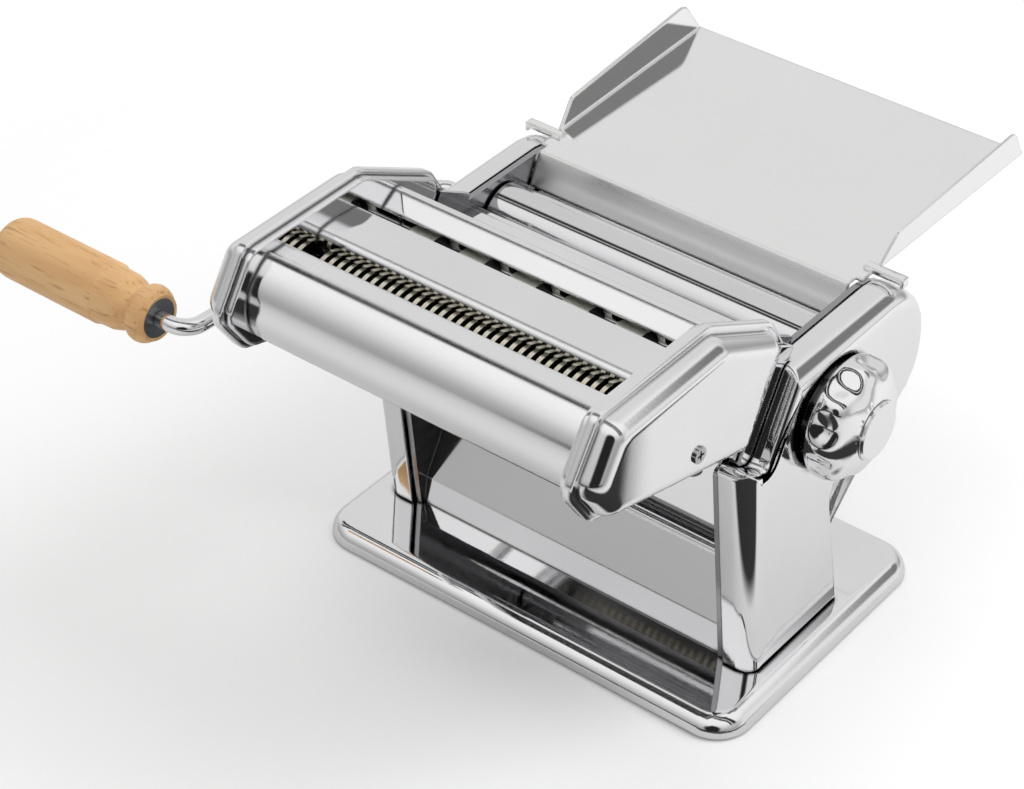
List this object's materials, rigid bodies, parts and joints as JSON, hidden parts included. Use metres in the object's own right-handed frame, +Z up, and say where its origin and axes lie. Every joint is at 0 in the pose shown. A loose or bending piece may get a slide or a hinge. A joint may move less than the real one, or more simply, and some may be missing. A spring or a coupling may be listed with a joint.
{
  "type": "pasta machine",
  "caption": "Hand-cranked pasta machine: chromed side panels on a flat base, sheet rollers with a thickness knob, lift-off feed tray, slide-on cutter and a crank with a wooden grip.",
  "frame": {"origin": "on the table plane, on the axis of the table clamp's hole at the rear of the base", "axes": "X along the rollers with the knob on +X and the crank on -X, Y from the cutter at the front to the tray at the back, Z up"},
  "size_m": [0.313, 0.3005, 0.1858],
  "materials": {
    "chrome_shell": "mirror chrome on pressed steel",
    "roller_chrome": "ground and chromed",
    "tray_steel": "satin",
    "plate_steel": "bright zinc",
    "gear_steel": "machined",
    "cutter_steel": "turned, warm tone",
    "bush_brass": "turned",
    "grip_wood": "sanded beech",
    "pad_rubber": "matte"
  },
  "bodies": {
    "frame": {"base_plate": "chrome_shell", "base_pads": "pad_rubber", "base_screws": "plate_steel", "left_side_panel": "chrome_shell", "right_side_panel": "chrome_shell", "left_bearing_plate": "plate_steel", "right_bearing_plate": "plate_steel", "left_guide": "chrome_shell", "right_guide": "chrome_shell", "tie_rods": "plate_steel", "tie_rod_screws": "plate_steel", "carrier_studs": "plate_steel", "roller_bushes": "bush_brass", "chute_panel": "chrome_shell", "rear_cover": "chrome_shell", "front_bar": "chrome_shell", "front_scraper": "plate_steel", "index_plate": "plate_steel"},
    "front_roller": {"front_roller": "roller_chrome", "front_gear": "gear_steel"},
    "crank": {"crank_rod": "chrome_shell", "crank_pin": "plate_steel"},
    "grip": {"crank_grip": "grip_wood", "grip_ferrule": "plate_steel"},
    "carrier": {"left_carrier": "plate_steel", "right_carrier": "plate_steel", "rear_scraper": "plate_steel"},
    "rear_roller": {"rear_roller": "roller_chrome", "rear_gear": "gear_steel"},
    "camshaft": {"cam_shaft": "plate_steel", "left_cam": "gear_steel", "right_cam": "gear_steel"},
    "knob": {"adjusting_knob": "chrome_shell", "knob_cap": "chrome_shell", "index_pin": "plate_steel"},
    "tray": {"feed_tray": "tray_steel"},
    "cutter": {"cutter_left_cap": "chrome_shell", "cutter_right_cap": "chrome_shell", "cutter_left_cheek": "plate_steel", "cutter_right_cheek": "plate_steel", "cutter_front_cover": "chrome_shell", "cutter_mid_cover": "chrome_shell", "cutter_rear_cover": "chrome_shell", "narrow_combs": "plate_steel", "wide_combs": "plate_steel", "cutter_rods": "plate_steel", "cap_screws": "plate_steel"},
    "narrow_front": {"narrow_front_roll": "cutter_steel", "narrow_front_gear": "gear_steel"},
    "narrow_rear": {"narrow_rear_roll": "cutter_steel", "narrow_rear_gear": "gear_steel"},
    "wide_front": {"wide_front_roll": "cutter_steel", "wide_front_gear": "gear_steel"},
    "wide_rear": {"wide_rear_roll": "cutter_steel", "wide_rear_gear": "gear_steel"}
  },
  "joints": [
    {"name": "crank_turn", "type": "hinge", "parent": "frame", "child": "front_roller", "pos_m": [0, -0.03341, 0.12562], "axis": [1, 0, 0], "continuous": true},
    {"name": "crank_pull", "type": "slide", "parent": "front_roller", "child": "crank", "axis": [-1, 0, 0], "range_m": [0, 0.018]},
    {"name": "grip_spin", "type": "hinge", "parent": "crank", "child": "grip", "pos_m": [0, -0.18054, 0.13616], "axis": [1, 0, 0], "continuous": true},
    {"name": "knob_turn", "type": "hinge", "parent": "frame", "child": "camshaft", "pos_m": [0, -0.04449, 0.11203], "axis": [1, 0, 0], "range_deg": [-0.5, 200.5]},
    {"name": "knob_pull", "type": "slide", "parent": "camshaft", "child": "knob", "axis": [1, 0, 0], "range_m": [0, 0.004], "stiffness_N_per_m": 1500, "springref_m": -0.002},
    {"name": "roller_gap", "type": "slide", "parent": "frame", "child": "carrier", "axis": [0, 0.866, -0.5], "range_m": [-0.002, 0]},
    {"name": "rear_roller_turn", "type": "hinge", "parent": "carrier", "child": "rear_roller", "pos_m": [0, -0.00899, 0.11152], "axis": [1, 0, 0], "continuous": true},
    {"name": "cutter_slide", "type": "slide", "parent": "frame", "child": "cutter", "axis": [0, 0.5, 0.866], "range_m": [0, 0.045]},
    {"name": "narrow_turn", "type": "hinge", "parent": "cutter", "child": "narrow_front", "pos_m": [0, -0.16, 0.158], "axis": [1, 0, 0], "continuous": true},
    {"name": "narrow_rear_turn", "type": "hinge", "parent": "cutter", "child": "narrow_rear", "pos_m": [0, -0.143, 0.158], "axis": [1, 0, 0], "continuous": true},
    {"name": "wide_turn", "type": "hinge", "parent": "cutter", "child": "wide_front", "pos_m": [0, -0.123, 0.1538], "axis": [1, 0, 0], "continuous": true},
    {"name": "wide_rear_turn", "type": "hinge", "parent": "cutter", "child": "wide_rear", "pos_m": [0, -0.106, 0.1538], "axis": [1, 0, 0], "continuous": true},
    {"name": "tray_lift", "type": "slide", "parent": "frame", "child": "tray", "axis": [0, 0, 1], "range_m": [0, 0.02]}
  ],
  "couplings": [
    {"joint": "rear_roller_turn", "follows": "crank_turn", "ratio": -1},
    {"joint": "knob_turn", "follows": "roller_gap", "rad_per_m": -1745.3},
    {"joint": "narrow_rear_turn", "follows": "narrow_turn", "ratio": -1},
    {"joint": "wide_rear_turn", "follows": "wide_turn", "ratio": -1}
  ]
}
